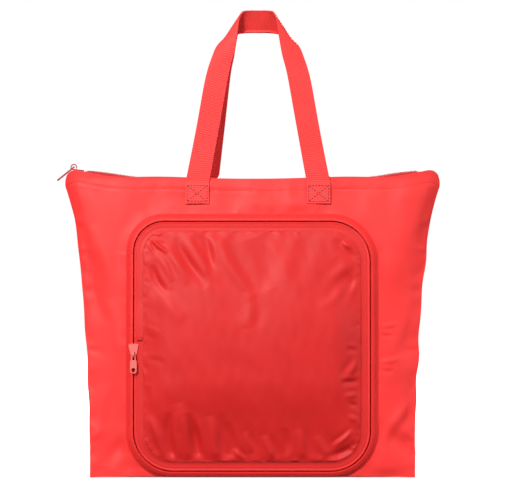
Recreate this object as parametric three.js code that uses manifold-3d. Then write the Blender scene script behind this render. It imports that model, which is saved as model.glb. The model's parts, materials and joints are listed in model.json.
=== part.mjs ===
// A foldable tote bag: thin fabric shells, two webbing handles, a zipped mouth and a zip-round front pocket.
// Millimetres. X runs across the bag, the front faces -Y, Z is up and the base rests on Z = 0.
import * as THREE from "three";
import Module from "manifold-3d";
import { mergeVertices } from "three/addons/utils/BufferGeometryUtils.js";

const wasm = await Module();
wasm.setup();

// Driving dimensions of the bag.
const BASE_HALF_WIDTH = 172;
const TOP_HALF_WIDTH = 200;
const BASE_HALF_DEPTH = 26;
const EDGE_HALF_DEPTH = 1.9;
const MOUTH_HALF_DEPTH = 13;
const BELLY = 44;
const MOUTH_HEIGHT = 316.5;
const MOUTH_RADIUS = 1586;
const CORNER_START = 0.93;
const CORNER_DROP = 14;
const MOUTH_REACH = 197; // how far out the mouth's curve is followed before the corners turn down
const GUSSET_TOP = 290;
const FABRIC = 1.2;
const GAP = 0.3;

// The zips: half the slot between the coils, the coil's size and the tape.
const SLOT = 0.8;
const COIL_WIDTH = 1.6;
const COIL_THICK = 2;
const TAPE = 0.8;
const FACING_HEIGHT = 12.7;
const FACING_THICK = 0.8;
const FACING_HALF_WIDTH = 180;
const TOP_ZIP_DEPTH = 3.5;
const TAPE_END = 120;
const TAPE_TIP = 193.6;
const STOP_LENGTH = 1.2;
const SEWN_INSET = 2.6;

// The pocket's zip line, a rectangle with round corners, and how far the zip and fabric stand off.
const POCKET = { left: -125.5, right: 124.5, bottom: 7, top: 270.8 };
const CORNER_TOP_LEFT = 32;
const CORNER = 42;
const ZIP_STANDOFF = 3.6;
const SLIDE_DEPTH = 30;
const TAPE_STANDOFF = 1.2;
const TAPE_FLAT = 5.1;
const TAPE_WIDTH_OUT = 6.6;
const TAPE_WIDTH_IN = 10;
const FLAP_EDGE_STANDOFF = 5;
const FLAP_RISE = 5;
const HINGE_X = POCKET.left + TAPE_WIDTH_IN + GAP;

// The handles: webbing and its sewn ends.
const WEBBING_WIDTH = 25;
const WEBBING_THICK = 1.8;
const HANDLE_CENTRE = 5.7;
const BACK_HANDLE_SHIFT = 5;
const HANDLE_SPREAD = 64.5;
const END_BOTTOM = 290;
const END_TOP = 311.3;
const STRAP_BOTTOM = 311.9;

// The sliders and their pulls.
const SLIDER_LENGTH = 11.5;
const SLIDER_WIDE = 10.4;
const SLIDER_NARROW = 7.2;
const PLATE = 1.3;
const TOP_SLIDER_X = -186;
const POCKET_SLIDER_Z = 136;
const BAIL_RADIUS = 2.4;
const BAIL_THICK = 1.1;
const BAIL_WIDTH = 1.6;
const PIVOT_HEIGHT = 2;
const PIVOT_INSET = 0.3;
const PULL_LENGTH = 20;
const PULL_WIDTH = 7;
const PULL_THICK = 1.4;
const EYE_RADIUS = 2.3;

const red = (hex, roughness = 0.6) =>
  new THREE.MeshStandardMaterial({ color: hex, roughness, metalness: 0 });
const FABRIC_RED = red(0xf2433f);
const POCKET_RED = red(0xdc3836);
const WEBBING_RED = red(0xf04845, 0.8);
const TAPE_RED = red(0xe03c3a, 0.7);
const COIL_RED = red(0xa41c1c, 0.5);
const SLIDER_PINK = new THREE.MeshStandardMaterial({ color: 0xe8766e, roughness: 0.4, metalness: 0.3 });

const bag = new THREE.Group();

function place(name, geometry, material) {
  const mesh = new THREE.Mesh(geometry, material);
  mesh.name = name;
  bag.add(mesh);
  return mesh;
}

// Volume inside a closed indexed surface, negative when its faces point inwards.
function signedVolume(positions, index) {
  const [a, b, c] = [new THREE.Vector3(), new THREE.Vector3(), new THREE.Vector3()];
  let sum = 0;
  for (let i = 0; i < index.length; i += 3) {
    a.fromArray(positions, 3 * index[i]);
    b.fromArray(positions, 3 * index[i + 1]);
    c.fromArray(positions, 3 * index[i + 2]);
    sum += a.dot(b.cross(c)) / 6;
  }
  return sum;
}

// The closed body between two grids of points of the same size; loop joins the last row to the first.
function slab(outer, inner, loop = false) {
  const rows = outer.length;
  const columns = outer[0].length;
  const points = [...outer.flat(), ...inner.flat()];
  const at = (side, i, j) => side * rows * columns + (i % rows) * columns + j;
  const index = [];
  const quad = (a, b, c, d) => index.push(a, b, c, a, c, d);
  const steps = loop ? rows : rows - 1;
  for (let i = 0; i < steps; i++) {
    for (let j = 0; j < columns - 1; j++) {
      quad(at(0, i, j), at(0, i + 1, j), at(0, i + 1, j + 1), at(0, i, j + 1));
      quad(at(1, i, j), at(1, i, j + 1), at(1, i + 1, j + 1), at(1, i + 1, j));
    }
    const last = columns - 1;
    quad(at(0, i, 0), at(1, i, 0), at(1, i + 1, 0), at(0, i + 1, 0));
    quad(at(0, i, last), at(0, i + 1, last), at(1, i + 1, last), at(1, i, last));
  }
  for (let j = 0; j < columns - 1 && !loop; j++) {
    const end = rows - 1;
    quad(at(0, 0, j), at(0, 0, j + 1), at(1, 0, j + 1), at(1, 0, j));
    quad(at(0, end, j), at(1, end, j), at(1, end, j + 1), at(0, end, j + 1));
  }
  const positions = new Float32Array(points.flatMap((p) => p.toArray()));
  if (signedVolume(positions, index) < 0) index.reverse();
  return new THREE.BufferGeometry()
    .setAttribute("position", new THREE.BufferAttribute(positions, 3))
    .setIndex(index);
}

const grid = (rows, columns, point) =>
  Array.from({ length: rows + 1 }, (_, i) =>
    Array.from({ length: columns + 1 }, (_, j) => new THREE.Vector3(...point(i / rows, j / columns))),
  );

// Several closed geometries joined into one.
function join(...geometries) {
  const solids = geometries.map((geometry) => {
    const bare = geometry.clone();
    bare.deleteAttribute("normal");
    bare.deleteAttribute("uv");
    const merged = mergeVertices(bare, 1e-3);
    const triVerts = new Uint32Array(merged.index.array);
    const vertProperties = merged.attributes.position.array;
    return new wasm.Manifold(new wasm.Mesh({ numProp: 3, vertProperties, triVerts }));
  });
  const mesh = solids.reduce((sum, solid) => sum.add(solid)).getMesh();
  return new THREE.BufferGeometry()
    .setAttribute("position", new THREE.BufferAttribute(mesh.vertProperties, 3))
    .setIndex(new THREE.BufferAttribute(mesh.triVerts, 1));
}

// The shape of the bag: half width and half depth at a height, and the line of the mouth.
const halfWidth = (z) =>
  Math.min(TOP_HALF_WIDTH, BASE_HALF_WIDTH + 11 * (z / 219) ** 2 + 6 * Math.max(0, (z - 250) / 58) ** 2);
const edgeDepth = (z) => EDGE_HALF_DEPTH + BASE_HALF_DEPTH * Math.max(0, 1 - z / 305) ** 0.9;
const mouthZ = (x) => MOUTH_HEIGHT + MOUTH_RADIUS - Math.sqrt(MOUTH_RADIUS ** 2 - x ** 2);

function middleDepth(z) {
  const t = Math.min(1, z / MOUTH_HEIGHT);
  const base = BASE_HALF_DEPTH + EDGE_HALF_DEPTH;
  return base * (1 - t) + MOUTH_HALF_DEPTH * t + BELLY * t * (1 - t);
}

// How far the front stands from the middle plane at x, z; the back mirrors it.
function depthAt(x, z) {
  const s = Math.min(1, Math.abs(x) / halfWidth(z));
  const fall = s ** (4 + 10 * Math.min(1, z / MOUTH_HEIGHT) ** 4);
  return edgeDepth(z) + (middleDepth(z) - edgeDepth(z)) * (1 - fall);
}

function topOf(s) {
  const beyond = Math.max(0, (Math.abs(s) - CORNER_START) / (1 - CORNER_START));
  return mouthZ(MOUTH_REACH * s) - CORNER_DROP * (1 - Math.sqrt(Math.max(0, 1 - beyond ** 2)));
}

// The front (side -1) or back (side 1) panel.
function panel(side) {
  const crowding = 0.92 * Math.PI; // brings the grid's columns closer together towards the side seams
  const surface = (inset) =>
    grid(14, 20, (v, u) => {
      const s = Math.sin((u - 0.5) * crowding) / Math.sin(crowding / 2);
      const z = v * topOf(s);
      const x = s * halfWidth(z);
      return [x, side * (depthAt(x, z) - inset), z];
    });
  return slab(surface(0), surface(FABRIC));
}

function gusset(side) {
  const surface = (inset) =>
    grid(12, 2, (v, u) => {
      const z = v * GUSSET_TOP;
      const reach = edgeDepth(z) - FABRIC - GAP;
      return [side * (halfWidth(z) - inset), (2 * u - 1) * reach, z];
    });
  return slab(surface(0), surface(FABRIC));
}

function bottomPanel() {
  const x = BASE_HALF_WIDTH - FABRIC - GAP;
  const y = BASE_HALF_DEPTH + EDGE_HALF_DEPTH - FABRIC - GAP;
  const surface = (z) => grid(1, 1, (v, u) => [(2 * u - 1) * x, (2 * v - 1) * y, z]);
  return slab(surface(0), surface(FABRIC));
}

// The band folded inside the mouth that the zip tape is sewn to.
function facing(side) {
  const surface = (inset) =>
    grid(1, 20, (v, u) => {
      const x = (2 * u - 1) * FACING_HALF_WIDTH;
      const z = mouthZ(x) - 1 - FACING_HEIGHT * (1 - v);
      return [x, side * (depthAt(x, z) - FABRIC - GAP - inset), z];
    });
  return slab(surface(0), surface(FACING_THICK));
}

place("front_panel", panel(-1), FABRIC_RED);
place("back_panel", panel(1), FABRIC_RED);
place("left_gusset", gusset(-1), FABRIC_RED);
place("right_gusset", gusset(1), FABRIC_RED);
place("bottom_panel", bottomPanel(), FABRIC_RED);
place("front_facing", facing(-1), FABRIC_RED);
place("back_facing", facing(1), FABRIC_RED);

// The top zip. Its strips lie across the mouth between two distances from the middle plane.
const zipZ = (x) => mouthZ(x) - TOP_ZIP_DEPTH;
const insideFacing = (x) => depthAt(x, mouthZ(x)) - FABRIC - GAP - FACING_THICK - GAP;
const coilEdge = SLOT + COIL_WIDTH;

function mouthStrip(side, from, to, near, far, thick, steps) {
  const surface = (lift) =>
    grid(steps, 1, (v, u) => {
      const x = from + (to - from) * v;
      return [x, side * (u ? far(x) : near), zipZ(x) + lift];
    });
  return slab(surface(thick / 2), surface(-thick / 2));
}

for (const [name, side] of [["front", -1], ["back", 1]]) {
  const sewn = (x) => insideFacing(x) - SEWN_INSET;
  const tape = mouthStrip(side, -TAPE_END, TAPE_END, coilEdge + GAP, sewn, TAPE, 12);
  place(`top_zip_tape_${name}`, tape, TAPE_RED);
  const coil = mouthStrip(side, -TAPE_END, TAPE_END, SLOT, () => coilEdge, COIL_THICK, 12);
  place(`top_zip_coil_${name}`, coil, COIL_RED);
}

// Past the stretch that opens, both tapes are sewn down, and a stop joins them at the corner.
for (const [name, side] of [["left", -1], ["right", 1]]) {
  const from = side * (TAPE_END + GAP);
  const to = side * TAPE_TIP;
  const half = (y) => mouthStrip(y, from, to, SLOT, (x) => Math.max(coilEdge, insideFacing(x)), TAPE, 8);
  const stop = new THREE.BoxGeometry(STOP_LENGTH, 4, 1.2);
  stop.translate(to - (side * STOP_LENGTH) / 2, 0, zipZ(to));
  place(`top_zip_${name}_end`, join(half(-1), half(1), stop), TAPE_RED);
}

// A slider lies along X, flat side down, with the bail for its pull over its -X end.
const plateInner = COIL_THICK / 2 + GAP;
const plateOuter = plateInner + PLATE;
const pivotX = -SLIDER_LENGTH / 2 + PIVOT_INSET;
const pivotZ = plateOuter + PIVOT_HEIGHT;

function extrude(shape, depth, curveSegments) {
  return new THREE.ExtrudeGeometry(shape, { depth, bevelEnabled: false, curveSegments });
}

function sliderBody(bailEndWidth, farEndWidth) {
  const half = SLIDER_LENGTH / 2;
  const near = bailEndWidth / 2;
  const far = farEndWidth / 2;
  const outline = new THREE.Shape();
  outline.moveTo(-half, -near + 1.5);
  outline.quadraticCurveTo(-half, -near, -half + 1.5, -near);
  outline.lineTo(half - 1.5, -far);
  outline.quadraticCurveTo(half, -far, half, -far + 1.5);
  outline.lineTo(half, far - 1.5);
  outline.quadraticCurveTo(half, far, half - 1.5, far);
  outline.lineTo(-half + 1.5, near);
  outline.quadraticCurveTo(-half, near, -half, near - 1.5);
  const top = extrude(outline, PLATE, 3).translate(0, 0, plateInner);
  const bottom = extrude(outline, PLATE, 3).translate(0, 0, -plateOuter);
  const wide = near > far ? -1 : 1;
  const post = new THREE.BoxGeometry(3, 2 * (SLOT - GAP), 2 * plateInner + PLATE);
  post.translate(wide * (half - 2.5), 0, 0);
  const outer = BAIL_RADIUS + BAIL_THICK;
  const arch = new THREE.Shape();
  arch.moveTo(outer, -PIVOT_HEIGHT - PLATE / 2);
  arch.absarc(0, 0, outer, 0, Math.PI);
  arch.lineTo(-outer, -PIVOT_HEIGHT - PLATE * 0.8);
  arch.lineTo(0.8, -PIVOT_HEIGHT - PLATE * 0.8);
  arch.lineTo(0.8, -PIVOT_HEIGHT - 0.1);
  arch.lineTo(-BAIL_RADIUS, -PIVOT_HEIGHT - 0.1);
  arch.absarc(0, 0, BAIL_RADIUS, Math.PI, 0, true);
  arch.lineTo(BAIL_RADIUS, -PIVOT_HEIGHT - PLATE / 2);
  const bail = extrude(arch, BAIL_WIDTH, 8).rotateX(Math.PI / 2);
  bail.translate(pivotX, BAIL_WIDTH / 2, pivotZ);
  return join(top, bottom, post, bail);
}

// A pull turns about its crossbar, which lies along Y through the origin; the tab runs towards -X.
function pullTab() {
  const outline = new THREE.Shape();
  const end = -PULL_LENGTH + PULL_WIDTH / 2;
  const railOuter = 2.4;
  outline.moveTo(0.7, -railOuter);
  outline.lineTo(0.7, railOuter);
  outline.lineTo(-5, railOuter);
  outline.lineTo(-8, PULL_WIDTH / 2);
  outline.absarc(end, 0, PULL_WIDTH / 2, Math.PI / 2, (3 * Math.PI) / 2);
  outline.lineTo(-8, -PULL_WIDTH / 2);
  outline.lineTo(-5, -railOuter);
  const window = new THREE.Path();
  window.moveTo(-0.7, -1.2);
  window.lineTo(-5.8, -1.2);
  window.lineTo(-5.8, 1.2);
  window.lineTo(-0.7, 1.2);
  const eye = new THREE.Path();
  eye.absarc(end, 0, EYE_RADIUS, 0, 2 * Math.PI, true);
  outline.holes.push(window, eye);
  return extrude(outline, PULL_THICK, 6).translate(0, 0, -PULL_THICK / 2);
}

// The top slider sits tilted on the mouth's arc, and its pull lies level, just above the tape.
const topSlider = new THREE.Group();
topSlider.position.set(TOP_SLIDER_X, 0, zipZ(TOP_SLIDER_X));
topSlider.rotation.y = -Math.asin(TOP_SLIDER_X / MOUTH_RADIUS);
bag.add(topSlider);
topSlider.add(place("top_zip_slider", sliderBody(SLIDER_WIDE, SLIDER_NARROW), SLIDER_PINK));
const topPull = place("top_zip_pull", pullTab(), SLIDER_PINK);
topPull.position.set(pivotX, 0, pivotZ);
topPull.rotation.y = -topSlider.rotation.y;
topSlider.add(topPull);

// The pocket. Its zip line is drawn as corners and straights; each point knows its outward direction.
const arcPoints = (cx, cz, radius, from, to, steps) =>
  Array.from({ length: steps + 1 }, (_, i) => {
    const angle = THREE.MathUtils.degToRad(from + ((to - from) * i) / steps);
    const [nx, nz] = [Math.cos(angle), Math.sin(angle)];
    return { x: cx + radius * nx, z: cz + radius * nz, nx, nz };
  });

const straight = (a, b, steps) =>
  Array.from({ length: steps - 1 }, (_, i) => {
    const t = (i + 1) / steps;
    return { x: a.x + (b.x - a.x) * t, z: a.z + (b.z - a.z) * t, nx: a.nx, nz: a.nz };
  });

// The corners' arcs in order from the left side over the top; the left ones are cut at the flap's hinge.
const cornerTL = { x: POCKET.left + CORNER_TOP_LEFT, z: POCKET.top - CORNER_TOP_LEFT, r: CORNER_TOP_LEFT };
const cornerTR = { x: POCKET.right - CORNER, z: POCKET.top - CORNER, r: CORNER };
const cornerBR = { x: POCKET.right - CORNER, z: POCKET.bottom + CORNER, r: CORNER };
const cornerBL = { x: POCKET.left + CORNER, z: POCKET.bottom + CORNER, r: CORNER };

function cutAngle(corner) {
  const reach = corner.r - SLOT;
  return THREE.MathUtils.radToDeg(Math.acos((HINGE_X + 0.4 - corner.x) / reach));
}

const cutTL = cutAngle(cornerTL);
const cutBL = 360 - cutAngle(cornerBL);
const arcOf = (c, from, to, steps) => arcPoints(c.x, c.z, c.r, from, to, steps);
const CUT = 1;

function leftPath() {
  const low = arcOf(cornerBL, cutBL - CUT, 180, 3);
  const high = arcOf(cornerTL, 180, cutTL + CUT, 3);
  return [...low, ...straight(low.at(-1), high[0], 8), ...high];
}

function flapPath() {
  const topLeft = arcOf(cornerTL, cutTL, 90, 3);
  const topRight = arcOf(cornerTR, 90, 0, 5);
  const lowRight = arcOf(cornerBR, 0, -90, 5);
  const lowLeft = arcOf(cornerBL, -90, cutBL - 360, 3);
  return [
    ...topLeft,
    ...straight(topLeft.at(-1), topRight[0], 8),
    ...topRight,
    ...straight(topRight.at(-1), lowRight[0], 8),
    ...lowRight,
    ...straight(lowRight.at(-1), lowLeft[0], 8),
    ...lowLeft,
  ];
}

// The zip keeps one depth where the slider runs, down the left side, and follows the panel elsewhere.
const smooth = (from, to, value) => THREE.MathUtils.smoothstep(value, from, to);
function zipDepth(x, z) {
  const level = (1 - smooth(-114, -90, x)) * smooth(14, 42, z) * (1 - smooth(148, 190, z));
  return THREE.MathUtils.lerp(depthAt(x, z), SLIDE_DEPTH, level);
}

// A strip along a path, between offsets from the zip line; each offset has its standoff.
function pocketStrip(path, offsets, thick, loop = false) {
  const surface = (lift) =>
    path.map((p) =>
      offsets.map(([offset, standoff, onPanel]) => {
        const x = p.x + p.nx * offset;
        const z = p.z + p.nz * offset;
        const depth = onPanel ? depthAt(x, z) : zipDepth(p.x, p.z);
        return new THREE.Vector3(x, -depth - standoff - lift, z);
      }),
    );
  return slab(surface(thick / 2), surface(-thick / 2), loop);
}

const outsideTape = [
  [coilEdge + GAP, ZIP_STANDOFF],
  [TAPE_FLAT, ZIP_STANDOFF],
  [TAPE_WIDTH_OUT, TAPE_STANDOFF, true],
];
const insideTape = [
  [-coilEdge - GAP, ZIP_STANDOFF],
  [-TAPE_FLAT, ZIP_STANDOFF],
  [-TAPE_WIDTH_IN, FLAP_EDGE_STANDOFF],
];
const outsideCoil = [[SLOT, ZIP_STANDOFF], [coilEdge, ZIP_STANDOFF]];
const insideCoil = [[-SLOT, ZIP_STANDOFF], [-coilEdge, ZIP_STANDOFF]];
const wholePath = [...leftPath(), ...flapPath()];
place("pocket_zip_outer_tape", pocketStrip(wholePath, outsideTape, TAPE, true), TAPE_RED);
place("pocket_zip_outer_coil", pocketStrip(wholePath, outsideCoil, COIL_THICK, true), COIL_RED);
place("pocket_zip_hinge_tape", pocketStrip(leftPath(), insideTape, TAPE), TAPE_RED);
place("pocket_zip_hinge_coil", pocketStrip(leftPath(), insideCoil, COIL_THICK), COIL_RED);
place("pocket_zip_flap_tape", pocketStrip(flapPath(), insideTape, TAPE), TAPE_RED);
place("pocket_zip_flap_coil", pocketStrip(flapPath(), insideCoil, COIL_THICK), COIL_RED);

// The flap's fabric fills the zip line inset by the tape, and rises to a shallow pillow.
const INSET = TAPE_WIDTH_IN + GAP;

function flapSpan(z) {
  const reach = (corner) => {
    const r = corner.r - INSET;
    const rise = Math.abs(z - corner.z);
    return r - Math.sqrt(Math.max(0, r ** 2 - Math.min(r, rise) ** 2));
  };
  const left = z > cornerTL.z ? reach(cornerTL) : z < cornerBL.z ? reach(cornerBL) : 0;
  const right = z > cornerTR.z ? reach(cornerTR) : z < cornerBR.z ? reach(cornerBR) : 0;
  return [POCKET.left + INSET + left, POCKET.right - INSET - right];
}

function pocketPanel() {
  const low = POCKET.bottom + INSET;
  const high = POCKET.top - INSET;
  const surface = (inset) =>
    grid(16, 14, (v, u) => {
      const z = low + ((high - low) * (1 - Math.cos(Math.PI * v))) / 2;
      const [left, right] = flapSpan(z);
      const x = left + (right - left) * u;
      const edge = Math.min(x - POCKET.left, POCKET.right - x, z - POCKET.bottom, POCKET.top - z) - INSET;
      const rise = FLAP_RISE * (1 - Math.exp(-Math.max(0, edge) / 25));
      return [x, -Math.max(depthAt(x, z), zipDepth(x, z)) - FLAP_EDGE_STANDOFF - rise + inset, z];
    });
  return slab(surface(FABRIC / 2), surface(-FABRIC / 2));
}

place("pocket_panel", pocketPanel(), POCKET_RED);

// The sewn tab at the notch, just above the slider, where the zip's two ends meet.
const TAB = { wide: 6, thick: 1, high: 4, fromHinge: 3.9, standoff: 1.3, z: 147.5 };
const notch = new THREE.BoxGeometry(TAB.wide, TAB.thick, TAB.high);
notch.translate(HINGE_X - TAB.fromHinge, -SLIDE_DEPTH - FLAP_EDGE_STANDOFF - TAB.standoff, TAB.z);
place("pocket_zip_end_tab", notch, TAPE_RED);

const pocketSlider = new THREE.Group();
pocketSlider.position.set(POCKET.left, -SLIDE_DEPTH - ZIP_STANDOFF, POCKET_SLIDER_Z);
pocketSlider.rotation.set(Math.PI / 2, -Math.PI / 2, 0, "YXZ");
bag.add(pocketSlider);
pocketSlider.add(place("pocket_zip_slider", sliderBody(SLIDER_NARROW, SLIDER_WIDE), SLIDER_PINK));
const pocketPull = place("pocket_zip_pull", pullTab(), SLIDER_PINK);
pocketPull.position.set(pivotX, 0, pivotZ);
pocketSlider.add(pocketPull);

// The handles. Each leg is sewn to a panel; at the top the strap turns over behind the legs.
// Control points: inner edge, middle and outer edge of the left half, from the middle of the strap's
// length outwards, with how far each lies behind the leg's plane.
const INNER = [[0, 11.5, 495], [-8, 10, 495], [-16.5, 4, 493.5], [-19.5, 0, 487], [-21.5, -1.5, 474]];
INNER.push([-25, -1, 452], [-31, 0, 428], [-41, 0, 372.5], [-52, 0, STRAP_BOTTOM]);
const MIDDLE = [[0, 12, 482.5], [-11, 12, 482.5], [-22, 10, 481.5], [-29.5, 5, 476], [-32, 1, 466]];
MIDDLE.push([-35.5, -0.5, 451], [-43.5, 0, 425], [-53.5, 0, 370], [-64.5, 0, STRAP_BOTTOM]);
const OUTER = [[0, 12, 470], [-12, 12.5, 470], [-23, 13, 469], [-34, 11, 466], [-43, 5, 459]];
OUTER.push([-48.5, 1.5, 447], [-56, 0, 422], [-66, 0, 367.5], [-77, 0, STRAP_BOTTOM]);

const LEG_DEPTH = 15.1;
const HALF_STEPS = 20;

function strapPoint(t, u) {
  const [inner, middle, outer] = [INNER, MIDDLE, OUTER].map((list) => {
    const points = list.map((p) => new THREE.Vector3(...p));
    return new THREE.CatmullRomCurve3(points, false, "catmullrom", 0.5).getPoint(t);
  });
  const across = (u + 1) / 2;
  const point = inner.multiplyScalar(2 * (across - 0.5) * (across - 1));
  point.addScaledVector(middle, 4 * across * (1 - across));
  return point.addScaledVector(outer, 2 * across * (across - 0.5));
}

// A strap's surface across (u from -1 to 1) and along (v from -1 at one end to 1 at the other).
function strapSurface(v, u) {
  const point = strapPoint(Math.abs(v), u);
  if (v < 0) point.x = -point.x;
  return point;
}

function handle(side, centre) {
  const across = [-1, 0, 1];
  const faces = [[], []];
  for (let i = -HALF_STEPS; i <= HALF_STEPS; i++) {
    const v = i / HALF_STEPS;
    const step = 0.002;
    const rows = [[], []];
    for (const u of across) {
      const point = strapSurface(v, u);
      const ahead = strapSurface(Math.min(1, v + step), u).sub(strapSurface(Math.max(-1, v - step), u));
      const over = strapSurface(v, Math.min(1, u + step)).sub(strapSurface(v, Math.max(-1, u - step)));
      if (v < 0 || (v === 0 && ahead.x > 0)) over.negate();
      const normal = ahead.cross(over).normalize().multiplyScalar(WEBBING_THICK / 2);
      if (v < 0) normal.negate();
      for (const [k, sign] of [[0, 1], [1, -1]]) {
        const p = point.clone().addScaledVector(normal, sign);
        rows[k].push(new THREE.Vector3(centre + p.x, side * (LEG_DEPTH - p.y), p.z));
      }
    }
    faces[0].push(rows[0]);
    faces[1].push(rows[1]);
  }
  return slab(faces[0], faces[1]);
}

function handleEnd(side, x) {
  const surface = (lift) =>
    grid(2, 2, (v, u) => {
      const at = x + (u - 0.5) * WEBBING_WIDTH;
      const z = END_BOTTOM + (END_TOP - END_BOTTOM) * v;
      return [at, side * (depthAt(at, z) + GAP + lift), z];
    });
  return slab(surface(WEBBING_THICK), surface(0));
}

const handles = [
  ["front", -1, HANDLE_CENTRE],
  ["back", 1, HANDLE_CENTRE + BACK_HANDLE_SHIFT],
];
for (const [name, side, centre] of handles) {
  place(`handle_${name}`, handle(side, centre), WEBBING_RED);
  place(`handle_${name}_left_end`, handleEnd(side, centre - HANDLE_SPREAD), WEBBING_RED);
  place(`handle_${name}_right_end`, handleEnd(side, centre + HANDLE_SPREAD), WEBBING_RED);
}

export default bag;
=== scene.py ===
"""A foldable tote bag: crumpled polyester panels, a zip-round pocket, coil zips and webbing straps.

Shapes are worked out in millimetres and turned into metres when a mesh is made. X runs across the bag,
the front faces -Y and Z is up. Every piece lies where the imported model's nodes are."""

import json
import math

import bpy
import numpy as np
from mathutils import Matrix, Vector


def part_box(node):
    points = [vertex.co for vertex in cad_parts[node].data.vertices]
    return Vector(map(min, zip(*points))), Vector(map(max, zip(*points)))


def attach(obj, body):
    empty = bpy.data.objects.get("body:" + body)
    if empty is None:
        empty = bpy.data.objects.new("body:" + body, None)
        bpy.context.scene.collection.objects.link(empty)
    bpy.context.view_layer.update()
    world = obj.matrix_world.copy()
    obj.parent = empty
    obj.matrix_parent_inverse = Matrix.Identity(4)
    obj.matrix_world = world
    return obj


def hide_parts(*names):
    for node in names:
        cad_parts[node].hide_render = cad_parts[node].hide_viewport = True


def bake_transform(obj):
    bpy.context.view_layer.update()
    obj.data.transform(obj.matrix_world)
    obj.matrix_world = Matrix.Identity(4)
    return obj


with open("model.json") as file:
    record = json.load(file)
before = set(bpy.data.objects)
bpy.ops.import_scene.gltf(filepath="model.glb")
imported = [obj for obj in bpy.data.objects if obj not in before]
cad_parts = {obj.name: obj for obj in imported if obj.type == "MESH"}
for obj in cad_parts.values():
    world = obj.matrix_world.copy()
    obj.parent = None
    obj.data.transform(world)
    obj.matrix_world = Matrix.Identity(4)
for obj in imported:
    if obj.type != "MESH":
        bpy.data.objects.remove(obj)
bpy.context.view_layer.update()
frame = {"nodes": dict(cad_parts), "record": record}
MM = 0.001
scene = bpy.context.scene


def node_box(name):
    """A node's lowest and highest corner in millimetres."""
    low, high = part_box(name)
    return np.array(low) / MM, np.array(high) / MM


# ---- the bag's shape, from the frame
BASE_INSET = 1.5  # how far the bottom panel stands inside the base's outline
TOP_HALF_WIDTH = node_box("front_panel")[1][0]
BASE_HALF_WIDTH, BASE_DEPTH = node_box("bottom_panel")[1][:2] + BASE_INSET
EDGE_DEPTH = 1.9
MOUTH_DEPTH = 13.0
BELLY = 44.0
MOUTH_HEIGHT = 316.5
MOUTH_RADIUS = 1586.0
MOUTH_REACH = 197.0  # how far out the mouth's curve is followed before the corners turn down
CORNER_START, CORNER_DROP = 0.93, 14.0
EDGE_DIP, DIP_AT, DIP_WIDTH = 4.3, 149.0, 38.0
FACING_HEIGHT = 12.7
ZIP_DROP = 3.5

COIL_LOW, COIL_HIGH = node_box("pocket_zip_outer_coil")
COIL_REACH = 2.4  # from the zip line to the outside of either half of the coil
POCKET_LEFT = COIL_LOW[0] + COIL_REACH
POCKET_RIGHT = COIL_HIGH[0] - COIL_REACH
POCKET_BOTTOM = COIL_LOW[2] + COIL_REACH
POCKET_TOP = COIL_HIGH[2] - COIL_REACH
CORNER_TOP_LEFT, CORNER = 32.0, 42.0
ZIP_STANDOFF = 3.6
SLIDE_DEPTH = 30.0
TAPE_OUT, TAPE_IN, TAPE_FLAT = 6.6, 10.0, 5.1
FLAP_EDGE, FLAP_RISE = 5.0, 5.0
FLAP_INSET = TAPE_IN + 0.3
HINGE_X = POCKET_LEFT + FLAP_INSET
HANDLE_CENTRE = {"front": 5.7, "back": 10.7}
HANDLE_SPREAD = 64.5
WEBBING, WEBBING_THICK = 25.0, 1.7
FABRIC_THICK = 0.45

# the sides lean out, and more steeply from TOP_FLARE_FROM up
FLARE, FLARE_HEIGHT = 11.0, 219.0
TOP_FLARE, TOP_FLARE_FROM, TOP_FLARE_HEIGHT = 6.0, 250.0, 58.0
TAPER_HEIGHT = 305.0
# the stretch down the pocket's left side where the zip lies at one depth, as (start, end) of its fades
LEVEL_SIDE, LEVEL_FOOT, LEVEL_HEAD = (-114, -90), (14, 42), (148, 190)


def half_width(z):
    flare = FLARE * (z / FLARE_HEIGHT) ** 2
    flare = flare + TOP_FLARE * (np.maximum(0, z - TOP_FLARE_FROM) / TOP_FLARE_HEIGHT) ** 2
    return np.minimum(TOP_HALF_WIDTH, BASE_HALF_WIDTH + flare)


def edge_depth(z):
    return EDGE_DEPTH + (BASE_DEPTH - EDGE_DEPTH) * np.maximum(0, 1 - z / TAPER_HEIGHT) ** 0.9


def mouth_z(x):
    return MOUTH_HEIGHT + MOUTH_RADIUS - np.sqrt(MOUTH_RADIUS**2 - x**2)


def middle_depth(z):
    up = np.minimum(1, z / MOUTH_HEIGHT)
    return BASE_DEPTH * (1 - up) + MOUTH_DEPTH * up + BELLY * up * (1 - up)


def depth_at(x, z):
    """How far the front or back stands from the middle plane."""
    outward = np.minimum(1, np.abs(x) / half_width(z))
    fall = outward ** (4 + 10 * np.minimum(1, z / MOUTH_HEIGHT) ** 4)
    return edge_depth(z) + (middle_depth(z) - edge_depth(z)) * (1 - fall)


def panel_top(share):
    """A panel's upper edge; share is -1 at its left side and 1 at its right."""
    beyond = np.maximum(0, (np.abs(share) - CORNER_START) / (1 - CORNER_START))
    return mouth_z(MOUTH_REACH * share) - CORNER_DROP * (1 - np.sqrt(np.maximum(0, 1 - beyond**2)))


def edge_dip(x):
    """How far the soft mouth edge sags below its curve between the handles and the corners."""
    return EDGE_DIP * np.exp(-(((np.abs(x) - DIP_AT) / DIP_WIDTH) ** 2))


def smooth(low, high, value):
    t = np.clip((value - low) / (high - low), 0, 1)
    return t * t * (3 - 2 * t)


def zip_depth(x, z):
    """The zip keeps one depth down the left side, where the slider runs."""
    level = (1 - smooth(*LEVEL_SIDE, x)) * smooth(*LEVEL_FOOT, z) * (1 - smooth(*LEVEL_HEAD, z))
    return depth_at(x, z) * (1 - level) + SLIDE_DEPTH * level


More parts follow.
